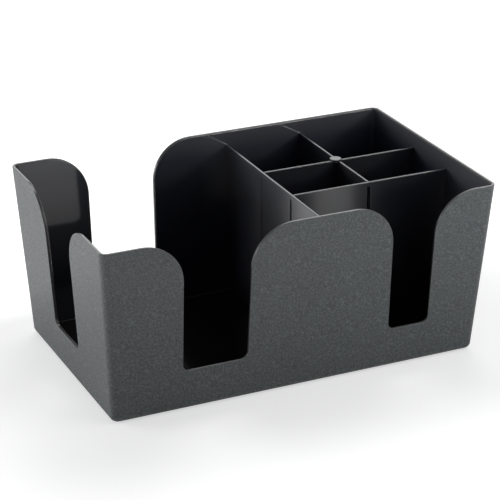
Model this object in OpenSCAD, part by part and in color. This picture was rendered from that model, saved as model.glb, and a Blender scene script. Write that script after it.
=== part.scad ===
// Bar caddy: an open tub with a napkin bay, a front bay and four small cells.
// The origin is the middle of the footprint on the bar top. +X runs along the
// long front to the right, +Y to the back and +Z up. All sizes are millimetres.

/* [Tub] */
// Outer length of the tub at its rim
tub_length = 240; // [210:1:280]
// Outer width of the tub at its rim, front to back
tub_width = 145.5; // [130:0.5:180]
// Height of the tub from the underside of its base to its rim
tub_height = 104.5; // [90:0.5:130]
// How far each wall leans in between the rim and the base
wall_lean = 7; // [3:0.1:9]
// Thickness of the walls, measured level
wall_t = 2; // [1.5:0.1:3]
// Thickness of the base
base_t = 2.5; // [2:0.1:4]
// Outer radius of the upright corners
corner_r = 4.5; // [3.5:0.1:8]
// Bevel round the underside of the base
base_bevel = 1.8; // [0.5:0.1:2.2]

/* [Slots] */
// Height of the slot sills above the underside of the base
sill_height = 24.5; // [15:0.5:40]
// Radius where the sides of a slot flow into the rim
mouth_r = 25; // [15:0.5:28]
// Radius in the lower corners of a slot
sill_r = 4; // [2:0.1:8]
// How much further out each side of a slot stands at the rim than at the sill
slot_taper = 0.8; // [0:0.1:2]
// Middle of the napkin bay's front slot, left of the tub's middle
front_slot_left = 52.5; // [48:0.1:56]
// Width of the napkin bay's front slot at its sill
front_slot_w = 39; // [30:0.5:44]
// Middle of the napkin bay's rear slot, left of the tub's middle
rear_slot_left = 52.5; // [48:0.1:56]
// Width of the napkin bay's rear slot at its sill
rear_slot_w = 40; // [30:0.5:44]
// Middle of the napkin bay's side slot, behind the tub's middle
side_slot_back = 0; // [-4:0.1:4]
// Width of the napkin bay's side slot at its sill
side_slot_w = 37.5; // [30:0.5:44]
// Middle of the front bay's slot, right of the tub's middle
straw_slot_right = 68; // [64:0.1:74]
// Width of the front bay's slot at its sill
straw_slot_w = 25.6; // [18:0.1:30]

/* [Dividers] */
// Thickness of the divider plates
divider_t = 1.5; // [1:0.1:2.5]
// How far the divider tops lie below the rim
divider_drop = 8.5; // [4:0.5:20]
// Middle of the long divider, right of the tub's middle
long_divider_right = 16.7; // [12:0.1:22]
// Middle of the bay divider, in front of the tub's middle
bay_divider_front = 19.5; // [12:0.5:28]
// Middle of the plate across the cells, behind the tub's middle
across_back = 19.5; // [12:0.5:28]
// Middle of the plate along the cells, right of the tub's middle
along_right = 66; // [60:0.5:74]
// Plate left standing above each tab slot
tab_bridge = 3; // [2:0.5:8]
// Height of the tabs
tab_height = 60; // [30:1:65]
// How far a tab's end stays below the face that it comes through
tab_short = 0.3; // [0:0.1:0.8]
// Clearance round the tabs, in the half lap and in the cap's slots
plate_gap = 0.1; // [0.05:0.01:0.3]

/* [Crossing cap] */
// Diameter of the cap
cap_d = 7.2; // [6:0.1:10]
// Thickness of the cap's head on top of the plates
cap_head_t = 0.8; // [0.5:0.1:2]
// Length of the cap's legs between the plates
cap_leg_h = 1.2; // [0.8:0.1:6]
// How far the cap sits left of the crossing
cap_left = 0.9; // [0:0.1:1.2]
// How far the cap sits behind the crossing
cap_back = 1.1; // [0:0.1:1.2]

/* [Feet] */
// Diameter of a foot
foot_d = 14; // [8:0.5:20]
// How far a foot stands out under the base
foot_proud = 1; // [0.6:0.1:3]
// Depth of a foot's seat in the base
foot_seat = 1; // [0.5:0.1:1.2]
// Clearance round a foot in its seat
foot_gap = 0.1; // [0.05:0.01:0.3]
// Bevel round the underside of a foot
foot_bevel = 0.4; // [0.1:0.05:0.5]
// Middle of a foot from the edge of the base
foot_inset = 14; // [12:0.5:30]

/* [Hidden] */
$fn = 64;

// How far a cutting solid runs past the face that it cuts
past = 1;
// How far a wall comes in for each millimetre down from the rim
wall_slope = wall_lean / tub_height;
// Smallest radius of the upright corners inside
least_corner_r = 0.5;
// Radius of the upright corners inside
inner_corner_r = max(corner_r - wall_t, least_corner_r);
// The bevel under the base comes out by as much as it rises
bevel_slope = 1;
// How many radii a corner cutter runs past the ends of its block
cutter_past = 4;
// How far a round stands past the faces that it blends, so that they meet in a clean edge
blend = 0.01;

// Heights above the underside of the base
divider_top = tub_height - divider_drop;
divider_foot = base_t;
tab_top = divider_top - tab_bridge;
tab_foot = tab_top - tab_height;
lap_height = (divider_top + divider_foot) / 2;

// Places of the plates
long_x = long_divider_right;
bay_y = -bay_divider_front;
across_y = across_back;
along_x = along_right;
half_t = divider_t / 2;

function wall_in(z) = wall_slope * (tub_height - z);
function inner_x(z) = tub_length / 2 - wall_t - wall_in(z);
function inner_y(z) = tub_width / 2 - wall_t - wall_in(z);

// Everything above the feet is drawn from the underside of the base
module on_feet() {
    translate([0, 0, foot_proud]) children();
}

// Outline of a block whose two sides lean out by slope, half wide at height at
function leaning_outline(half, at, slope, lo, hi) =
    let (low = half + slope * (lo - at), high = half + slope * (hi - at))
    [[-low, lo], [low, lo], [high, hi], [-high, hi]];

// What a round corner takes off a sharp one. The sharp corner is the origin, X
// points straight out of it, and each of its faces is turned by turn from X.
module corner_waste(r, turn) {
    near = r - blend;
    far = near + past;
    back = near / cos(turn);
    side = [far * cos(turn) - back, far * sin(turn)];
    difference() {
        polygon([[-back, 0], side, [far / cos(turn) - back, 0], [side.x, -side.y]]);
        translate([-back, 0]) circle(r);
    }
}

// How far the sides of a leaning block are turned from the middle of their edge
function side_turn(slope) =
    let (lean = atan(slope), edge = atan(slope * sqrt(2)), across = cos(lean) * cos(45))
    atan2(across, across * cos(edge) + sin(lean) * sin(edge));

// A block between two heights, with leaning sides and round upright corners
module leaning_block(half_l, half_w, at, slope, r, lo, hi) {
    edge_angle = atan(slope * sqrt(2));
    reach = (hi - lo) / cos(edge_angle) + cutter_past * r;
    span = 2 * (max(half_l, half_w) + slope * (hi - lo));
    difference() {
        intersection() {
            rotate([90, 0, 0])
                linear_extrude(span, center = true)
                    polygon(leaning_outline(half_l, at, slope, lo, hi));
            rotate([90, 0, 90])
                linear_extrude(span, center = true)
                    polygon(leaning_outline(half_w, at, slope, lo, hi));
        }
        for (sx = [-1, 1], sy = [-1, 1])
            translate([sx * half_l, sy * half_w, at])
                rotate([0, 0, atan2(sy, sx)])
                    rotate([0, edge_angle, 0])
                        linear_extrude(2 * reach, center = true)
                            corner_waste(r, side_turn(slope));
    }
}

// Outside of the tub, with the bevel under its base
module tub_outside() {
    base_half_l = tub_length / 2 - wall_lean;
    base_half_w = tub_width / 2 - wall_lean;
    intersection() {
        leaning_block(tub_length / 2, tub_width / 2, tub_height, wall_slope, corner_r, 0, tub_height);
        leaning_block(base_half_l - base_bevel, base_half_w - base_bevel, 0, bevel_slope,
            corner_r + base_bevel, 0, tub_height);
    }
}

// Room inside the tub
module tub_inside() {
    leaning_block(tub_length / 2 - wall_t, tub_width / 2 - wall_t, tub_height, wall_slope,
        inner_corner_r, base_t, tub_height + past);
}

// Outline of a slot, w wide at its sill, with its middle at x = 0
module slot_outline(w) {
    tilt = atan(slot_taper / (tub_height - sill_height));
    turn = (90 - tilt) / 2;
    over = tub_height + past;
    over_half = w / 2 + (over - sill_height) * tan(tilt);
    difference() {
        polygon([[-w / 2, sill_height], [w / 2, sill_height], [over_half, over], [-over_half, over]]);
        for (side = [-1, 1])
            translate([side * w / 2, sill_height])
                rotate(side * turn - 90)
                    corner_waste(sill_r, turn);
    }
    for (side = [-1, 1])
        translate([side * (w / 2 + slot_taper), tub_height])
            rotate(side * turn + 90)
                corner_waste(mouth_r, turn);
}

// A slot through the front wall (side = -1) or the rear wall (side = 1)
module long_wall_slot(x, w, side) {
    depth = wall_lean + wall_t + 2 * past;
    translate([x, side * (tub_width / 2 + past - depth / 2), 0])
        rotate([90, 0, 0])
            linear_extrude(depth, center = true)
                slot_outline(w);
}

// The slot through the left wall
module left_wall_slot(y, w) {
    depth = wall_lean + wall_t + 2 * past;
    translate([depth / 2 - tub_length / 2 - past, y, 0])
        rotate([90, 0, 90])
            linear_extrude(depth, center = true)
                slot_outline(w);
}

// Middle of a foot, with sx and sy saying which corner it is at
function foot_place(sx, sy) =
    [sx * (tub_length / 2 - wall_lean - foot_inset), sy * (tub_width / 2 - wall_lean - foot_inset), 0];

// Outer tub: base and four walls in one moulding
module tub() {
    color([0.26, 0.27, 0.27])
        on_feet()
            difference() {
                tub_outside();
                tub_inside();
                long_wall_slot(-front_slot_left, front_slot_w, -1);
                long_wall_slot(straw_slot_right, straw_slot_w, -1);
                long_wall_slot(-rear_slot_left, rear_slot_w, 1);
                left_wall_slot(side_slot_back, side_slot_w);
                for (sx = [-1, 1], sy = [-1, 1])
                    translate(foot_place(sx, sy))
                        translate([0, 0, -past])
                            cylinder(h = foot_seat + past, d = foot_d + 2 * foot_gap);
            }
}

// A plate that stands front to back at x, with its outline in (Y, Z)
module plate_along(x, outline) {
    translate([x, 0, 0])
        rotate([90, 0, 90])
            linear_extrude(divider_t, center = true)
                polygon(outline);
}

// A plate that stands left to right at y, with its outline in (X, Z)
module plate_across(y, outline) {
    translate([0, y, 0])
        rotate([90, 0, 0])
            linear_extrude(divider_t, center = true)
                polygon(outline);
}

// The window that a tab of another plate comes through
module tab_window(x, y) {
    side = divider_t + 2 * plate_gap;
    translate([x - side / 2, y - side / 2, tab_foot - plate_gap])
        cube([side, side, tab_height + 2 * plate_gap]);
}

// Outline of a plate with a tab at its low end: start is the face that it
// butts against, tip the tab's end, foot_end and top_end where the wall is
function tabbed_outline(start, tip, foot_end, top_end) = [
    [start, divider_foot], [foot_end, divider_foot], [top_end, divider_top], [start, divider_top],
    [start, tab_top], [tip, tab_top], [tip, tab_foot], [start, tab_foot]
];

// The wall between the napkin bay and the small compartments
module long_divider() {
    color([0.13, 0.13, 0.14])
        on_feet()
            difference() {
                plate_along(long_x, [
                    [-inner_y(divider_foot), divider_foot], [inner_y(divider_foot), divider_foot],
                    [inner_y(divider_top), divider_top], [-inner_y(divider_top), divider_top]
                ]);
                tab_window(long_x, bay_y);
                tab_window(long_x, across_y);
            }
}

// The wall between the front bay and the four cells
module bay_divider() {
    color([0.13, 0.13, 0.14])
        on_feet()
            difference() {
                plate_across(bay_y, tabbed_outline(long_x + half_t, long_x - half_t + tab_short,
                    inner_x(divider_foot), inner_x(divider_top)));
                tab_window(along_x, bay_y);
            }
}

// The notch of the half lap at the crossing, between two heights
module lap_notch(lo, hi) {
    side = divider_t + 2 * plate_gap;
    translate([along_x - side / 2, across_y - side / 2, lo])
        cube([side, side, hi - lo]);
}

// The plate that parts the front cells from the rear cells
module cell_divider_across() {
    color([0.13, 0.13, 0.14])
        on_feet()
            difference() {
                plate_across(across_y, tabbed_outline(long_x + half_t, long_x - half_t + tab_short,
                    inner_x(divider_foot), inner_x(divider_top)));
                lap_notch(lap_height - plate_gap, divider_top + past);
            }
}

// The plate that parts the left cells from the right cells
module cell_divider_along() {
    color([0.13, 0.13, 0.14])
        on_feet()
            difference() {
                plate_along(along_x, tabbed_outline(bay_y + half_t, bay_y - half_t + tab_short,
                    inner_y(divider_foot), inner_y(divider_top)));
                lap_notch(divider_foot - past, lap_height);
            }
}

// Round cap on the crossing, with four legs that straddle the plates
module crossing_cap() {
    slot = divider_t + 2 * plate_gap;
    color([0.2, 0.2, 0.21])
        on_feet()
            difference() {
                translate([along_x - cap_left, across_y + cap_back, divider_top - cap_leg_h])
                    cylinder(h = cap_leg_h + cap_head_t, d = cap_d);
                translate([along_x - slot / 2, across_y - cap_d, divider_top - cap_leg_h - past])
                    cube([slot, 2 * cap_d, cap_leg_h + past]);
                translate([along_x - cap_d, across_y - slot / 2, divider_top - cap_leg_h - past])
                    cube([2 * cap_d, slot, cap_leg_h + past]);
            }
}

// A round non-slip foot in its seat under the base
module foot(sx, sy) {
    r = foot_d / 2;
    color([0.09, 0.09, 0.09])
        translate(foot_place(sx, sy))
            rotate_extrude()
                polygon([
                    [0, 0], [r - foot_bevel, 0], [r, foot_bevel],
                    [r, foot_proud + foot_seat], [0, foot_proud + foot_seat]
                ]);
}

tub();
long_divider();
bay_divider();
cell_divider_across();
cell_divider_along();
crossing_cap();
foot(-1, -1);  // foot_front_left
foot(1, -1);  // foot_front_right
foot(-1, 1);  // foot_rear_left
foot(1, 1);  // foot_rear_right
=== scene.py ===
"""Looks of an open bar caddy: a tub with a polished inside, divider plates, a crossing cap and feet."""

import math

import bmesh
import bpy
from mathutils import Matrix, Vector


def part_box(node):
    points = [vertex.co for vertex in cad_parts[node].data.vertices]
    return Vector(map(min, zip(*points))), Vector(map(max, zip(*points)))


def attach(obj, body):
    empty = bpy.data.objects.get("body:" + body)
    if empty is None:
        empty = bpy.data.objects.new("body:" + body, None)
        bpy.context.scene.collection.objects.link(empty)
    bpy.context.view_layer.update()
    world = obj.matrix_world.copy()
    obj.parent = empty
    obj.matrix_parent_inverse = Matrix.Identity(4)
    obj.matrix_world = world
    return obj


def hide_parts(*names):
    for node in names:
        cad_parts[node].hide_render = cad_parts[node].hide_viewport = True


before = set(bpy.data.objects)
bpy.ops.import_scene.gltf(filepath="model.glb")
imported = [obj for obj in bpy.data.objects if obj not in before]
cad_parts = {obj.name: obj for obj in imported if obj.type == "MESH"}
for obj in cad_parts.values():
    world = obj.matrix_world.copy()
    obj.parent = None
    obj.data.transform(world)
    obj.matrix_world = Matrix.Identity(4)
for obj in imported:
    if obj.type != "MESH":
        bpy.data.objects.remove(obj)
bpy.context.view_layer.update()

MM = 0.001


def middle(node):
    """Middle of a node's box."""
    low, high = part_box(node)
    return (low + high) / 2


# Sizes taken from the frame
tub_low, tub_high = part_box("tub")
long_low, long_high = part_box("long_divider")
TUB_LENGTH = tub_high.x - tub_low.x
TUB_WIDTH = tub_high.y - tub_low.y
TUB_FOOT = tub_low.z
RIM_Z = tub_high.z
TUB_HEIGHT = RIM_Z - TUB_FOOT
LONG_X = middle("long_divider").x
ALONG_X = middle("cell_divider_along").x
BAY_Y = middle("bay_divider").y
ACROSS_Y = middle("cell_divider_across").y
PLATE_TOP = long_high.z
PLATE_FOOT = long_low.z
PLATE_T = long_high.x - long_low.x

# Sizes of the tub that its box doesn't give
WALL_LEAN = 7 * MM
WALL_T = 2 * MM
CORNER_R = 4.5 * MM
RIM_OUTER_ROUND = 0.25 * MM
RIM_INNER_ROUND = 0.9 * MM
BASE_ROUND = 3 * MM
FLOOR_ROUND = 0.3 * MM

# Slots, which get wider by the taper on each side from the sill up to the rim
SILL_Z = TUB_FOOT + 24.5 * MM
MOUTH_R = 25 * MM
SILL_R = 4 * MM
SLOT_TAPER = 0.8 * MM

# Places of the slots from the middle of their wall, with their widths at the sill
FRONT_SLOTS = [(-52.5 * MM, 39 * MM), (68 * MM, 25.6 * MM)]
REAR_SLOTS = [(-52.5 * MM, 40 * MM)]
LEFT_SLOTS = [(0 * MM, 37.5 * MM)]

# Joints of the plates
TAB_TOP = PLATE_TOP - 3 * MM
TAB_FOOT = TAB_TOP - 60 * MM
TAB_SHORT = 0.3 * MM
PLATE_GAP = 0.1 * MM
PLATE_ROUND = 0.35 * MM
LAP_Z = (PLATE_TOP + PLATE_FOOT) / 2

# Half the width of what a plate goes through: a window, a notch or the gap between two legs
FIT_HALF = PLATE_T / 2 + PLATE_GAP

# Windows that the tabs go through
WINDOW_TOP = TAB_TOP + PLATE_GAP
WINDOW_FOOT = TAB_FOOT - PLATE_GAP
WINDOW_ROUND = 0.3 * MM

# Crossing cap
CAP_HEAD_T = 0.8 * MM
CAP_ROUND = 0.35 * MM

# Feet and their seats in the base
FOOT_NODES = ["foot_front_left", "foot_front_right", "foot_rear_left", "foot_rear_right"]
FOOT_SEAT = 1 * MM
FOOT_GAP = 0.1 * MM
FOOT_BEVEL = 0.4 * MM
GRIP_DEPTH = 0.35 * MM

# Radii in the underside of a foot, as shares of its own: a hollow in the middle, and a groove round it
HOLLOW_TOP = 0.18
HOLLOW_MOUTH = 0.24
GROOVE_MOUTH = (0.5, 0.64)
GROOVE_TOP = (0.54, 0.6)

# Share of the bevel of a foot at which it bends
BEVEL_BEND = 0.3

# Smoothness of the round forms
CORNER_STEPS = 10
MOUTH_STEPS = 28
SILL_STEPS = 10
ROUND_STEPS = 4
RIM_STEPS = 6
BASE_STEPS = 6
DISC_STEPS = 64
LEG_STEPS = DISC_STEPS // 4

# The profile of a bevel that is an arc, and the angle in radians from which an edge is a sharp one
ARC_PROFILE = 0.5
SHARP_ANGLE = 1

# Distance under which points count as one
TINY = 1e-7

QUARTER = math.pi / 2
FRONT, RIGHT, REAR, LEFT = range(4)
WALLS = (FRONT, RIGHT, REAR, LEFT)

# Depth under the rim over which polished plastic is painted from a light band at the rim down to dark:
# painted shade that deepens down into the tub
PAINTED_SHADE_DEPTH = 30 * MM

# Floor of the stage, with half its side in metres
FLOOR_HALF = 4.0
FLOOR_GREY = 0.6
FLOOR_ROUGHNESS = 0.9

# The floor glows, with a painted shadow that dims the glow by the object, less as the camera sees it and
# more in reflections
GLOW_SEEN_IN_PAINTED_SHADOW = 0.55
GLOW_MIRRORED_IN_PAINTED_SHADOW = 0.35
GLOW_AWAY = 1.0

# Distances from the object where the painted shadow starts to fade and where the glow is full
GLOW_STARTS = 20 * MM
GLOW_FULL = 200 * MM

# How much faster the glow rises behind the object: the painted shadow is shorter there, as if cast
# forward by the back light
PAINTED_SHADOW_REAR_SHORTENING = 4

# Surroundings
WORLD_LEVEL = 0.3
WORLD_COLOUR = (0.97, 0.98, 1.0, 1)

# Points that the lamps are aimed at, in metres
MIDDLE_AIM = (0, 0, 0.06)
CELLS_AIM = (0.07, 0.07, 0.11)

# Camera, as fitted to the photo, with its sensor in millimetres
CAMERA_PLACE = Vector((-462.56, -989.16, 533.89)) * MM
CAMERA_YAW = math.radians(25.0396)
CAMERA_PITCH = math.radians(23.536)
CAMERA_ROLL = math.radians(0.1574)
FOCAL_PIXELS = 2048.6
FRAME_PIXELS = 500
SENSOR = 36.0


def quarter_turns(steps):
    """Angles that divide a quarter turn into steps."""
    return [QUARTER * i / steps for i in range(steps + 1)]


def lean_in(z):
    """How far a wall's outside at height z lies inside its place at the rim."""
    return WALL_LEAN * (RIM_Z - z) / TUB_HEIGHT


def half_length(z):
    """Half the length of the tub's outside at height z."""
    return TUB_LENGTH / 2 - lean_in(z)


def half_width(z):
    """Half the width of the tub's outside at height z."""
    return TUB_WIDTH / 2 - lean_in(z)


def wall_axes(wall):
    """Direction along a wall, anticlockwise from above, and its outward normal."""
    turn = wall * QUARTER
    along = Vector((math.cos(turn), math.sin(turn), 0))
    return along, Vector((along.y, -along.x, 0))


def wall_halves(wall, z):
    """Half the length of a wall and its distance from the middle, at height z."""
    if wall in (FRONT, REAR):
        return half_length(z), half_width(z)
    return half_width(z), half_length(z)


def wall_point(wall, u, z, depth):
    """Point u along a wall at height z, depth under its outside."""
    along, out = wall_axes(wall)
    reach = wall_halves(wall, z)[1] - depth
    return along * u + out * reach + Vector((0, 0, z))


def corner_point(wall, turn, z, depth):
    """Point on the corner after a wall, turned from its normal, depth under the outside."""
    along, out = wall_axes(wall)
    half, reach = wall_halves(wall, z)
    radius = CORNER_R - depth
    centre = along * (half - CORNER_R) + out * (reach - CORNER_R)
    return centre + (out * math.cos(turn) + along * math.sin(turn)) * radius + Vector((0, 0, z))


def arc(centre, radius, start, end, steps):
    """Points of an arc with their directions from its centre."""
    made = []
    for i in range(steps + 1):
        turn = start + (end - start) * i / steps
        way = Vector((math.cos(turn), math.sin(turn)))
        made.append((centre + way * radius, way))
    return made


def slot_path(middle_u, width):
    """Edge of one slot from left to right: points (u, z), each with its normal out of the wall."""
    tilt = math.atan(SLOT_TAPER / (RIM_Z - SILL_Z))
    mouth_u = width / 2 + SLOT_TAPER + MOUTH_R * (1 / math.cos(tilt) - math.tan(tilt))
    sill_u = width / 2 + SILL_R * (math.tan(tilt) - 1 / math.cos(tilt))
    mouth = Vector((-mouth_u, RIM_Z - MOUTH_R))
    sill = Vector((-sill_u, SILL_Z + SILL_R))
    half = arc(mouth, MOUTH_R, QUARTER, tilt, MOUTH_STEPS)
    half += [(p, -n) for p, n in arc(sill, SILL_R, math.pi + tilt, 3 * QUARTER, SILL_STEPS)]
    other = [(Vector((-p.x, p.y)), Vector((-n.x, n.y))) for p, n in reversed(half)]
    return [(p + Vector((middle_u, 0)), n) for p, n in half + other]


def rim_path(wall):
    """Edge of the slots in a wall, in the direction along it."""
    slots = {FRONT: FRONT_SLOTS, RIGHT: [], REAR: REAR_SLOTS, LEFT: LEFT_SLOTS}[wall]
    side = 1 if wall in (FRONT, RIGHT) else -1
    path = []
    for place, width in sorted((side * place, width) for place, width in slots):
        path += slot_path(place, width)
    return path


def rim_profile():
    """Rows round the rim from the outside to the inside: (step back from the edge, depth)."""
    bend = [(1 - math.sin(t), 1 - math.cos(t)) for t in quarter_turns(RIM_STEPS)]
    outer = [(back * RIM_OUTER_ROUND, depth * RIM_OUTER_ROUND) for back, depth in bend]
    inner = [(back * RIM_INNER_ROUND, WALL_T - depth * RIM_INNER_ROUND) for back, depth in bend]
    return outer + inner[::-1]


def lower_edge_profile(foot_z, depth, radius, steps):
    """Rows round a lower edge from its wall to its level face: (height, depth)."""
    turns = quarter_turns(steps)
    return [(foot_z + radius * (1 - math.sin(t)), depth + radius * (1 - math.cos(t))) for t in turns]


def new_object(name, bm, materials):
    """Turns a bmesh into a smooth object that rides on the caddy."""
    bmesh.ops.recalc_face_normals(bm, faces=bm.faces)
    mesh = bpy.data.meshes.new(name)
    for face in bm.faces:
        face.smooth = True
    bm.to_mesh(mesh)
    bm.free()
    for material in materials:
        mesh.materials.append(material)
    obj = bpy.data.objects.new(name, mesh)
    bpy.context.scene.collection.objects.link(obj)
    weighted = obj.modifiers.new("weighted_normals", "WEIGHTED_NORMAL")
    weighted.keep_sharp = True
    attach(obj, "root")
    return obj


def strip(bm, first, second, closed, material=0):
    """Quads between two rows of as many vertices."""
    count = len(first)
    for i in range(count if closed else count - 1):
        j = (i + 1) % count
        bm.faces.new((first[i], first[j], second[j], second[i])).material_index = material


def disc_points(centre, radius, z):
    """Points of a circle at height z."""
    turns = [2 * math.pi * i / DISC_STEPS for i in range(DISC_STEPS)]
    return [Vector((centre.x + radius * math.cos(t), centre.y + radius * math.sin(t), z)) for t in turns]


def rim_rows(bm):
    """Rows of vertices round the rim: for each wall the edge of its slots and the corner after it."""
    turns = quarter_turns(CORNER_STEPS)
    rows = []
    for back, depth in rim_profile():
        row = []
        for wall in WALLS:
            edge = [(p.x - n.x * back, p.y - n.y * back) for p, n in rim_path(wall)]
            path = [wall_point(wall, u, z, depth) for u, z in edge]
            corner = [corner_point(wall, t, RIM_Z - back, depth) for t in turns]
            row.append(([bm.verts.new(p) for p in path], [bm.verts.new(p) for p in corner]))
        rows.append(row)
    return rows


def level_rows(bm, profile):
    """Rows of vertices at the heights and depths of a profile: the corner after each wall."""
    turns = quarter_turns(CORNER_STEPS)
    rows = []
    for z, depth in profile:
        rows.append([[bm.verts.new(corner_point(wall, t, z, depth)) for t in turns] for wall in WALLS])
    return rows


def fill_walls(bm, rim_row, low_row, material):
    """Faces of the walls and of the corners between them, from the rim down to a lower row."""
    for wall in WALLS:
        path, corner = rim_row[wall]
        corner_before = rim_row[wall - 1][1]
        start = [low_row[wall - 1][-1], low_row[wall][0], corner[0]]
        bm.faces.new(start + path[::-1] + [corner_before[-1]]).material_index = material
        strip(bm, low_row[wall], corner, False, material)


def fill_underside(bm, outline, material):
    """Underside of the base inside its outline, with the seats of the feet."""
    foot_low, foot_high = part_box(FOOT_NODES[0])
    seat_r = (foot_high.x - foot_low.x) / 2 + FOOT_GAP
    rings = [outline]
    for node in FOOT_NODES:
        place = middle(node)
        mouth = [bm.verts.new(p) for p in disc_points(place, seat_r, TUB_FOOT)]
        top = [bm.verts.new(p) for p in disc_points(place, seat_r, TUB_FOOT + FOOT_SEAT)]
        strip(bm, mouth, top, True, material)
        bm.faces.new(top).material_index = material
        rings.append(mouth)
    edges = []
    for ring in rings:
        for a, b in zip(ring, ring[1:] + ring[:1]):
            edges.append(bm.edges.get((a, b)) or bm.edges.new((a, b)))
    bmesh.ops.triangle_fill(bm, use_beauty=True, edges=edges)


def make_tub(materials):
    """The tub: leaning walls with round corners and slots, and the seats of the feet."""
    textured, polished, worn, floor = range(4)
    bm = bmesh.new()
    rim = rim_rows(bm)
    base = level_rows(bm, lower_edge_profile(TUB_FOOT, 0, BASE_ROUND, BASE_STEPS))
    inner = level_rows(bm, lower_edge_profile(PLATE_FOOT, WALL_T, FLOOR_ROUND, ROUND_STEPS))
    rim_loops = [[v for path, corner in row for v in path + corner] for row in rim]
    base_loops = [[v for corner in row for v in corner] for row in base]
    inner_loops = [[v for corner in row for v in corner] for row in inner]
    for loops, material in ((rim_loops, worn), (base_loops, textured), (inner_loops, polished)):
        for first, second in zip(loops, loops[1:]):
            strip(bm, first, second, True, material)
    bm.faces.new(inner_loops[-1]).material_index = floor
    fill_walls(bm, rim[0], base[0], textured)
    fill_walls(bm, rim[-1], inner[0], polished)
    fill_underside(bm, base_loops[-1], textured)
    tub = new_object("tub_shell", bm, materials)
    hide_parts("tub")


def round_edges(bm, edges, radius):
    """Rounds edges with an arc."""
    bmesh.ops.bevel(
        bm, geom=edges, offset=radius, offset_type="OFFSET",
        segments=ROUND_STEPS, profile=ARC_PROFILE, affect="EDGES",
    )


def round_top(bm):
    """Rounds the long edges at the top of a plate."""
    edges = [e for e in bm.edges if all(abs(v.co.z - PLATE_TOP) < TINY for v in e.verts)]
    sharp = [e for e in edges if len(e.link_faces) == 2 and e.calc_face_angle() > SHARP_ANGLE]
    round_edges(bm, sharp, PLATE_ROUND)


def round_window(bm, s, place, axis):
    """Rounds the edges of the window at s on the low side of a plate, where the end of a tab shows."""
    thick, along = (0, 1) if axis == "X" else (1, 0)

    def on_corner(co):
        """Whether a point is one of the window's corners on that side."""
        side = abs(abs(co[along] - s) - FIT_HALF) < TINY
        level = min(abs(co.z - WINDOW_FOOT), abs(co.z - WINDOW_TOP)) < TINY
        return side and level and co[thick] < place

    round_edges(bm, [e for e in bm.edges if all(on_corner(v.co) for v in e.verts)], WINDOW_ROUND)


def grid_key(*values):
    """Values rounded to the distance under which points count as one."""
    return tuple(round(value / TINY) for value in values)


def extrude_outlines(outlines, place, axis):
    """Plate from outlines (s, z) that share edges; axis is the way that its thickness points."""
    bm = bmesh.new()
    shared = {}

    def vertex(s, z, side):
        """Vertex at a point on one side of the plate, made once."""
        key = (*grid_key(s, z), side)
        if key not in shared:
            level = place + side * PLATE_T / 2
            shared[key] = bm.verts.new((level, s, z) if axis == "X" else (s, level, z))
        return shared[key]

    edges = {}
    for outline in outlines:
        for a, b in zip(outline, outline[1:] + outline[:1]):
            key = frozenset((grid_key(*a), grid_key(*b)))
            edges.setdefault(key, []).append((a, b))
        for side in (-1, 1):
            bm.faces.new([vertex(s, z, side) for s, z in outline])

    # An edge of one outline alone is on the outside of the plate
    for pairs in edges.values():
        if len(pairs) == 1:
            a, b = pairs[0]
            bm.faces.new((vertex(*a, -1), vertex(*b, -1), vertex(*b, 1), vertex(*a, 1)))
    bmesh.ops.recalc_face_normals(bm, faces=bm.faces)
    return bm


def wall_end(half, z):
    """Where the inside of a leaning wall is at height z, from half its outside at the rim."""
    return half - WALL_T - lean_in(z)


def end_points(half, sign):
    """Lower corner, cut back for the round in the tub's floor, and top of a plate's end at a wall."""
    low_z = PLATE_FOOT + FLOOR_ROUND
    return [
        (sign * (wall_end(half, PLATE_FOOT) - FLOOR_ROUND), PLATE_FOOT),
        (sign * wall_end(half, low_z), low_z),
        (sign * wall_end(half, PLATE_TOP), PLATE_TOP),
    ]


def upright(s):
    """Points up a plate at s: its foot, the heights of a window and its top."""
    return [(s, z) for z in (PLATE_FOOT, WINDOW_FOOT, WINDOW_TOP, PLATE_TOP)]


def window_strips(s):
    """The two pieces of plate under and over a window at s."""
    left, right = s - FIT_HALF, s + FIT_HALF
    under = [(left, PLATE_FOOT), (right, PLATE_FOOT), (right, WINDOW_FOOT), (left, WINDOW_FOOT)]
    over = [(left, WINDOW_TOP), (right, WINDOW_TOP), (right, PLATE_TOP), (left, PLATE_TOP)]
    return [under, over]


def tab_points(met):
    """Low end of a plate with its tab through the plate met there, from the top down to the foot."""
    start = met + PLATE_T / 2
    tip = met - PLATE_T / 2 + TAB_SHORT
    return [
        (start, PLATE_TOP), (start, TAB_TOP), (tip, TAB_TOP),
        (tip, TAB_FOOT), (start, TAB_FOOT), (start, PLATE_FOOT),
    ]


def finish_plate(name, node, bm, material):
    """Rounds the top of a plate and puts it in the place of its node."""
    round_top(bm)
    plate = new_object(name, bm, [material])
    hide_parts(node)


def make_long_divider(material):
    """Plate from the front wall to the rear wall, with two windows, the front one with round edges."""
    front = end_points(TUB_WIDTH / 2, -1)
    rear = end_points(TUB_WIDTH / 2, 1)
    outlines = [
        front[::-1] + upright(BAY_Y - FIT_HALF),
        *window_strips(BAY_Y),
        upright(ACROSS_Y - FIT_HALF) + upright(BAY_Y + FIT_HALF)[::-1],
        *window_strips(ACROSS_Y),
        rear + upright(ACROSS_Y + FIT_HALF)[::-1],
    ]
    bm = extrude_outlines(outlines, LONG_X, "X")
    round_window(bm, BAY_Y, LONG_X, "X")
    finish_plate("long_divider_plate", "long_divider", bm, material)


def make_bay_divider(material):
    """Plate from the long divider to the right wall, with a tab and a window."""
    right = end_points(TUB_LENGTH / 2, 1)
    outlines = [
        tab_points(LONG_X) + upright(ALONG_X - FIT_HALF),
        *window_strips(ALONG_X),
        right + upright(ALONG_X + FIT_HALF)[::-1],
    ]
    bm = extrude_outlines(outlines, BAY_Y, "Y")
    round_window(bm, ALONG_X, BAY_Y, "Y")
    finish_plate("bay_divider_plate", "bay_divider", bm, material)


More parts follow.
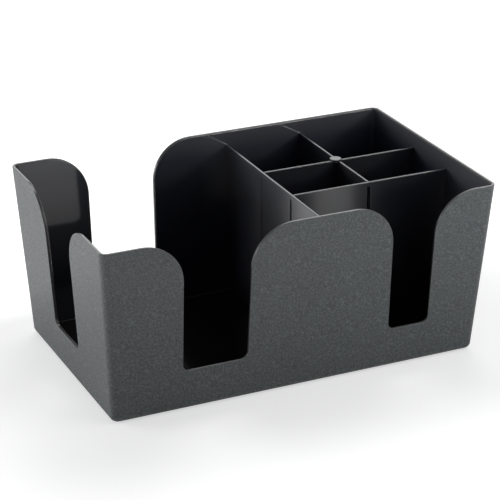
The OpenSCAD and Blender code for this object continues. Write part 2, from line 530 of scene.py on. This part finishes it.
def make_across_divider(material):
    """Plate from the long divider to the right wall, notched from the top at the crossing."""
    right = end_points(TUB_LENGTH / 2, 1)
    notch_z = LAP_Z - PLATE_GAP
    notch = [
        (ALONG_X + FIT_HALF, PLATE_TOP), (ALONG_X + FIT_HALF, notch_z),
        (ALONG_X - FIT_HALF, notch_z), (ALONG_X - FIT_HALF, PLATE_TOP),
    ]
    bm = extrude_outlines([tab_points(LONG_X) + right + notch], ACROSS_Y, "Y")
    finish_plate("cell_divider_across_plate", "cell_divider_across", bm, material)


def make_along_divider(material):
    """Plate from the bay divider to the rear wall, notched from below at the crossing."""
    rear = end_points(TUB_WIDTH / 2, 1)
    notch = [
        (ACROSS_Y - FIT_HALF, PLATE_FOOT), (ACROSS_Y - FIT_HALF, LAP_Z),
        (ACROSS_Y + FIT_HALF, LAP_Z), (ACROSS_Y + FIT_HALF, PLATE_FOOT),
    ]
    bm = extrude_outlines([tab_points(BAY_Y) + notch + rear], ALONG_X, "X")
    finish_plate("cell_divider_along_plate", "cell_divider_along", bm, material)


def lathe(bm, centre, profile):
    """Solid of revolution from (radius, z) points, closed with a disc at the first and the last."""
    rings = [[bm.verts.new(p) for p in disc_points(centre, r, z)] for r, z in profile]
    for first, second in zip(rings, rings[1:]):
        strip(bm, first, second, True)
    bm.faces.new(rings[0])
    bm.faces.new(rings[-1])


def leg_outline(centre, radius, side_x, side_y):
    """Outline of the cap's leg in one quarter of the crossing: its inner corner and its round edge."""
    inner = Vector((ALONG_X, ACROSS_Y)) + Vector((side_x, side_y)) * FIT_HALF
    offset = inner - centre.xy
    start = math.atan2(offset.y, math.sqrt(radius ** 2 - offset.y ** 2) * side_x)
    end = math.atan2(math.sqrt(radius ** 2 - offset.x ** 2) * side_y, offset.x)
    sweep = (end - start + math.pi) % (2 * math.pi) - math.pi
    return [inner] + [p for p, _ in arc(centre.xy, radius, start, start + sweep, LEG_STEPS)]


def make_cap(material):
    """Round cap on the crossing, with four legs that straddle the plates."""
    low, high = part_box("crossing_cap")
    centre = (low + high) / 2
    radius = (high.x - low.x) / 2
    head_z = high.z - CAP_HEAD_T
    profile = [(radius, head_z)]
    for turn in quarter_turns(ROUND_STEPS):
        inset = CAP_ROUND * (1 - math.cos(turn))
        drop = CAP_ROUND * (1 - math.sin(turn))
        profile.append((radius - inset, high.z - drop))
    bm = bmesh.new()
    lathe(bm, centre, profile)
    for side_x in (-1, 1):
        for side_y in (-1, 1):
            outline = leg_outline(centre, radius, side_x, side_y)
            foot = [bm.verts.new((p.x, p.y, low.z)) for p in outline]
            top = [bm.verts.new((p.x, p.y, head_z)) for p in outline]
            strip(bm, foot, top, True)
            bm.faces.new(foot)
            bm.faces.new(top)
    cap = new_object("crossing_cap_button", bm, [material])
    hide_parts("crossing_cap")


def make_foot(node, material):
    """Round foot with a bevelled edge, and a hollow and a grip groove in its underside."""
    low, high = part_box(node)
    radius = (high.x - low.x) / 2
    grip_z = low.z + GRIP_DEPTH
    bend = FOOT_BEVEL * BEVEL_BEND
    profile = [
        (radius * HOLLOW_TOP, grip_z),
        (radius * HOLLOW_MOUTH, low.z),
        (radius * GROOVE_MOUTH[0], low.z),
        (radius * GROOVE_TOP[0], grip_z),
        (radius * GROOVE_TOP[1], grip_z),
        (radius * GROOVE_MOUTH[1], low.z),
        (radius - FOOT_BEVEL, low.z),
        (radius - bend, low.z + bend),
        (radius, low.z + FOOT_BEVEL),
        (radius, high.z),
    ]
    bm = bmesh.new()
    lathe(bm, (low + high) / 2, profile)
    foot = new_object(node + "_pad", bm, [material])
    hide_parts(node)


class Nodes:
    """Short hand for a material's node tree, where the scale of a noise is in waves per metre."""

    def __init__(self, name):
        self.material = bpy.data.materials.new(name)
        self.material.use_nodes = True
        self.tree = self.material.node_tree
        self.bsdf = self.tree.nodes["Principled BSDF"]
        self.output = self.tree.nodes["Material Output"]
        self.place = self.add("ShaderNodeTexCoord").outputs["Object"]

    def add(self, kind, **values):
        """New node with values for its inputs or its settings."""
        node = self.tree.nodes.new(kind)
        for key, value in values.items():
            if key in node.inputs:
                node.inputs[key].default_value = value
            else:
                setattr(node, key, value)
        return node

    def link(self, source, target):
        """Joins an output to an input."""
        self.tree.links.new(source, target)

    def noise(self, scale, detail, rough, stretch=None):
        """Noise in the object's own space, with another scale along each axis if stretched."""
        source = self.place
        if stretch:
            mapping = self.add("ShaderNodeMapping", Scale=stretch)
            self.link(source, mapping.inputs["Vector"])
            source = mapping.outputs["Vector"]
        node = self.add("ShaderNodeTexNoise", Scale=scale, Detail=detail, Roughness=rough)
        self.link(source, node.inputs["Vector"])
        return node.outputs["Fac"]

    def ramp(self, source, stops):
        """Colours between stops (position, colour)."""
        node = self.add("ShaderNodeValToRGB")
        elements = node.color_ramp.elements
        for position, _ in stops[len(elements):]:
            elements.new(position)
        for element, (position, colour) in zip(elements, stops):
            element.position = position
            element.color = (*colour, 1)
        self.link(source, node.inputs["Fac"])
        return node.outputs["Color"]

    def span(self, source, low=0.0, high=1.0, start=0.0, end=1.0, way="LINEAR"):
        """Value that goes from low to high as the source goes from start to end."""
        node = self.add("ShaderNodeMapRange", interpolation_type=way)
        node.inputs["From Min"].default_value = start
        node.inputs["From Max"].default_value = end
        node.inputs["To Min"].default_value = low
        node.inputs["To Max"].default_value = high
        self.link(source, node.inputs["Value"])
        return node.outputs["Result"]

    def axes(self, source):
        """The three parts of a vector."""
        node = self.add("ShaderNodeSeparateXYZ")
        self.link(source, node.inputs["Vector"])
        return node.outputs

    def math(self, operation, *values):
        """Result of a sum, where each value is a number or a socket."""
        node = self.add("ShaderNodeMath", operation=operation)
        for socket, value in zip(node.inputs, values):
            if isinstance(value, bpy.types.NodeSocket):
                self.link(value, socket)
            else:
                socket.default_value = value
        return node.outputs["Value"]

    def bump(self, height, strength, distance):
        """Normal that follows a height."""
        node = self.add("ShaderNodeBump", Strength=strength, Distance=distance)
        self.link(height, node.inputs["Height"])
        return node.outputs["Normal"]

    def feed(self, **sources):
        """Links sources to the inputs of the surface, named with _ for a space."""
        for name, source in sources.items():
            self.link(source, self.bsdf.inputs[name.replace("_", " ")])

    def set(self, **values):
        """Sets even values on the inputs of the surface, named with _ for a space."""
        for name, value in values.items():
            self.bsdf.inputs[name.replace("_", " ")].default_value = value


def grey(value, tint=(1, 1, 1)):
    """Grey of a value, with a tint."""
    return tuple(value * t for t in tint)


def textured_plastic():
    """Charcoal plastic with the fine pitted texture of a spark-eroded mould."""
    n = Nodes("textured_plastic")
    grain = n.noise(scale=1000, detail=4, rough=0.65)
    speck = n.noise(scale=950, detail=3, rough=0.75)
    cloud = n.noise(scale=30, detail=3, rough=0.5)
    cool = (0.84, 1.0, 1.02)
    pit = grey(0.018, cool)
    face = grey(0.052, cool)
    fleck = grey(0.15, cool)
    n.feed(
        Base_Color=n.ramp(speck, [(0.34, pit), (0.5, face), (0.68, fleck)]),
        Roughness=n.span(cloud, low=0.46, high=0.56),
        Normal=n.bump(grain, strength=0.5, distance=0.3 * MM),
    )
    n.set(Specular_IOR_Level=0.8)
    return n.material


def polished_plastic(name, coat, coat_roughness):
    """Black plastic from a polished mould: a wavy coat over a colour painted lighter at the rim and
    darker down the walls, a painted shade of the light that falls in from the open top.
    """
    n = Nodes(name)
    cloud = n.noise(scale=40, detail=3, rough=0.55)
    wave = n.noise(scale=14, detail=1, rough=0.4)
    # Painted shade: the base colour grows lighter towards the rim and darker deeper in the tub, as the
    # light from the open top falls off
    painted_depth_shade = n.span(n.axes(n.place)["Z"], start=RIM_Z - PAINTED_SHADE_DEPTH, end=RIM_Z)
    # Colours of the painted shade: deep down, midway and at the rim
    deep = (0.0018, 0.0025, 0.0075)
    midway = (0.0095, 0.0112, 0.022)
    at_rim = (0.05, 0.051, 0.06)
    wavy = n.bump(wave, strength=0.1, distance=1 * MM)
    n.feed(
        Base_Color=n.ramp(painted_depth_shade, [(0.0, deep), (0.55, midway), (1.0, at_rim)]),
        Roughness=n.span(cloud, low=0.38, high=0.5),
        Normal=wavy,
        Coat_Normal=wavy,
    )
    n.set(Specular_IOR_Level=0.4, Coat_Weight=coat, Coat_Roughness=coat_roughness)
    return n.material


def floor_plastic():
    """Black plastic of the tub's floor, polished like the walls, with faint scuffs."""
    n = Nodes("floor_plastic")
    scuff = n.noise(scale=180, detail=4, rough=0.6)
    clean = (0.0012, 0.0014, 0.002)
    scuffed = (0.0026, 0.0029, 0.0038)
    n.feed(
        Base_Color=n.ramp(scuff, [(0.35, clean), (0.7, scuffed)]),
        Roughness=n.span(scuff, low=0.05, high=0.12),
    )
    n.set(Specular_IOR_Level=0.4)
    return n.material


def satin_plastic():
    """Black plastic of the smaller plates and the cap, duller than the tub, with faint flow lines."""
    n = Nodes("satin_plastic")
    flow = n.noise(scale=60, detail=3, rough=0.6, stretch=(1, 1, 0.12))
    cloud = n.noise(scale=50, detail=3, rough=0.55)
    dark = (0.0045, 0.005, 0.0085)
    light = (0.007, 0.0078, 0.012)
    n.feed(
        Base_Color=n.ramp(flow, [(0.3, dark), (0.7, light)]),
        Roughness=n.span(cloud, low=0.34, high=0.46),
    )
    n.set(Specular_IOR_Level=0.6, Coat_Weight=0.8, Coat_Roughness=0.2)
    return n.material


def worn_rim():
    """The rim, a little dulled by use."""
    n = Nodes("worn_rim")
    scuff = n.noise(scale=500, detail=3, rough=0.6)
    n.feed(
        Base_Color=n.ramp(scuff, [(0.35, grey(0.025)), (0.75, grey(0.05))]),
        Roughness=n.span(scuff, low=0.26, high=0.4),
    )
    n.set(Specular_IOR_Level=0.6, Coat_Weight=0.8, Coat_Roughness=0.18)
    return n.material


def rubber():
    """Black rubber with a dull, slightly dusty face."""
    n = Nodes("rubber")
    dust = n.noise(scale=400, detail=4, rough=0.6)
    n.feed(
        Base_Color=n.ramp(dust, [(0.35, grey(0.018)), (0.75, grey(0.04))]),
        Roughness=n.span(dust, low=0.7, high=0.9),
        Normal=n.bump(dust, strength=0.3, distance=0.2 * MM),
    )
    return n.material


def painted_shadow_fade(n):
    """How far the floor's glow has risen out of a painted shadow, from 0 by the object to 1 away from
    it, sooner behind it.
    """
    place = n.axes(n.place)
    beside = n.math("SUBTRACT", n.math("ABSOLUTE", place["X"]), TUB_LENGTH / 2)
    behind = n.math("SUBTRACT", place["Y"], TUB_WIDTH / 2)
    ahead = n.math("SUBTRACT", n.math("MULTIPLY", place["Y"], -1), TUB_WIDTH / 2)
    deep = n.math("MAXIMUM", n.math("MULTIPLY", behind, PAINTED_SHADOW_REAR_SHORTENING), ahead)
    away = n.add("ShaderNodeCombineXYZ")
    n.link(n.math("MAXIMUM", beside, 0), away.inputs["X"])
    n.link(n.math("MAXIMUM", deep, 0), away.inputs["Y"])
    distance = n.add("ShaderNodeVectorMath", operation="LENGTH")
    n.link(away.outputs["Vector"], distance.inputs[0])
    return n.span(distance.outputs["Value"], start=GLOW_STARTS, end=GLOW_FULL, way="SMOOTHSTEP")


def floor_material():
    """Pale floor that the camera and reflections see as near white, with the lamps' shadow kept and a
    painted shadow where its glow dims by the object.
    """
    n = Nodes("floor")
    n.set(Base_Color=(*grey(FLOOR_GREY), 1), Roughness=FLOOR_ROUGHNESS, Specular_IOR_Level=0.0)
    rise = painted_shadow_fade(n)
    rays = n.add("ShaderNodeLightPath").outputs
    bent = n.math("MAXIMUM", rays["Is Glossy Ray"], rays["Is Transmission Ray"])
    # Reflections see the painted shadow darker than the camera does
    mirrored = n.math("MULTIPLY", bent, n.span(rise, low=GLOW_MIRRORED_IN_PAINTED_SHADOW, high=GLOW_AWAY))
    seen = n.math("MULTIPLY", rays["Is Camera Ray"], n.span(rise, low=GLOW_SEEN_IN_PAINTED_SHADOW, high=GLOW_AWAY))
    glow = n.add("ShaderNodeEmission")
    n.link(n.math("MAXIMUM", seen, mirrored), glow.inputs["Strength"])
    both = n.add("ShaderNodeAddShader")
    n.link(n.bsdf.outputs["BSDF"], both.inputs[0])
    n.link(glow.outputs["Emission"], both.inputs[1])
    n.link(both.outputs["Shader"], n.output.inputs["Surface"])
    return n.material


def make_floor():
    """Level floor of the stage."""
    bm = bmesh.new()
    corners = [(-1, -1), (1, -1), (1, 1), (-1, 1)]
    bm.faces.new([bm.verts.new((x * FLOOR_HALF, y * FLOOR_HALF, 0)) for x, y in corners])
    mesh = bpy.data.meshes.new("floor")
    bm.to_mesh(mesh)
    bm.free()
    mesh.materials.append(floor_material())
    floor = bpy.data.objects.new("floor", mesh)
    bpy.context.scene.collection.objects.link(floor)


def make_world():
    """Soft white surroundings."""
    world = bpy.data.worlds.new("studio")
    world.use_nodes = True
    background = world.node_tree.nodes["Background"]
    background.inputs["Color"].default_value = WORLD_COLOUR
    background.inputs["Strength"].default_value = WORLD_LEVEL
    bpy.context.scene.world = world


def area_light(name, place, size, level, target=MIDDLE_AIM, spread=180):
    """Softbox whose face has a level of brightness, with a grid that narrows its spread in degrees."""
    data = bpy.data.lights.new(name, "AREA")
    data.shape = "RECTANGLE"
    data.size, data.size_y = size
    data.energy = level * math.pi * size[0] * size[1]
    data.spread = math.radians(spread)
    light = bpy.data.objects.new(name, data)
    light.location = place
    light.rotation_mode = "QUATERNION"
    light.rotation_quaternion = (Vector(target) - Vector(place)).to_track_quat("-Z", "Y")
    bpy.context.scene.collection.objects.link(light)


def make_lights():
    """Two softboxes behind, one at the left, one near the front and a small one aimed at the cells."""
    area_light("rim", place=(0.62, 1.33, 0.72), size=(0.9, 0.35), level=1.9)
    area_light("back", place=(0.35, 0.75, 1.5), size=(1.0, 0.8), level=2.3)
    area_light("left", place=(-1.0, 0.55, 0.24), size=(0.6, 0.3), level=12)
    area_light("right", place=(0.22, -0.28, 0.28), size=(0.3, 0.2), level=2.1)
    area_light(
        "front", place=(0.44, -0.745, 0.3), size=(0.16, 0.08), level=0.5,
        target=CELLS_AIM, spread=22,
    )


def make_camera():
    """Camera at the photo's place and angle."""
    data = bpy.data.cameras.new("camera")
    data.sensor_width = SENSOR
    data.lens = FOCAL_PIXELS / FRAME_PIXELS * SENSOR
    camera = bpy.data.objects.new("camera", data)
    level = math.cos(CAMERA_PITCH)
    ahead = Vector((math.sin(CAMERA_YAW) * level, math.cos(CAMERA_YAW) * level, -math.sin(CAMERA_PITCH)))
    turn = ahead.to_track_quat("-Z", "Y").to_matrix() @ Matrix.Rotation(CAMERA_ROLL, 3, "Z")
    camera.location = CAMERA_PLACE
    camera.rotation_mode = "QUATERNION"
    camera.rotation_quaternion = turn.to_quaternion()
    bpy.context.scene.collection.objects.link(camera)
    bpy.context.scene.camera = camera


bpy.context.scene.view_settings.view_transform = "Standard"
make_world()
make_floor()
make_lights()
make_camera()

inner_plastic = polished_plastic("polished_plastic", coat=0.72, coat_roughness=0.05)
long_plastic = polished_plastic("long_divider_plastic", coat=1.0, coat_roughness=0.22)
plate_plastic = satin_plastic()
foot_rubber = rubber()

make_tub([textured_plastic(), inner_plastic, worn_rim(), floor_plastic()])
make_long_divider(long_plastic)
make_bay_divider(plate_plastic)
make_across_divider(plate_plastic)
make_along_divider(plate_plastic)
make_cap(plate_plastic)
for foot_node in FOOT_NODES:
    make_foot(foot_node, foot_rubber)
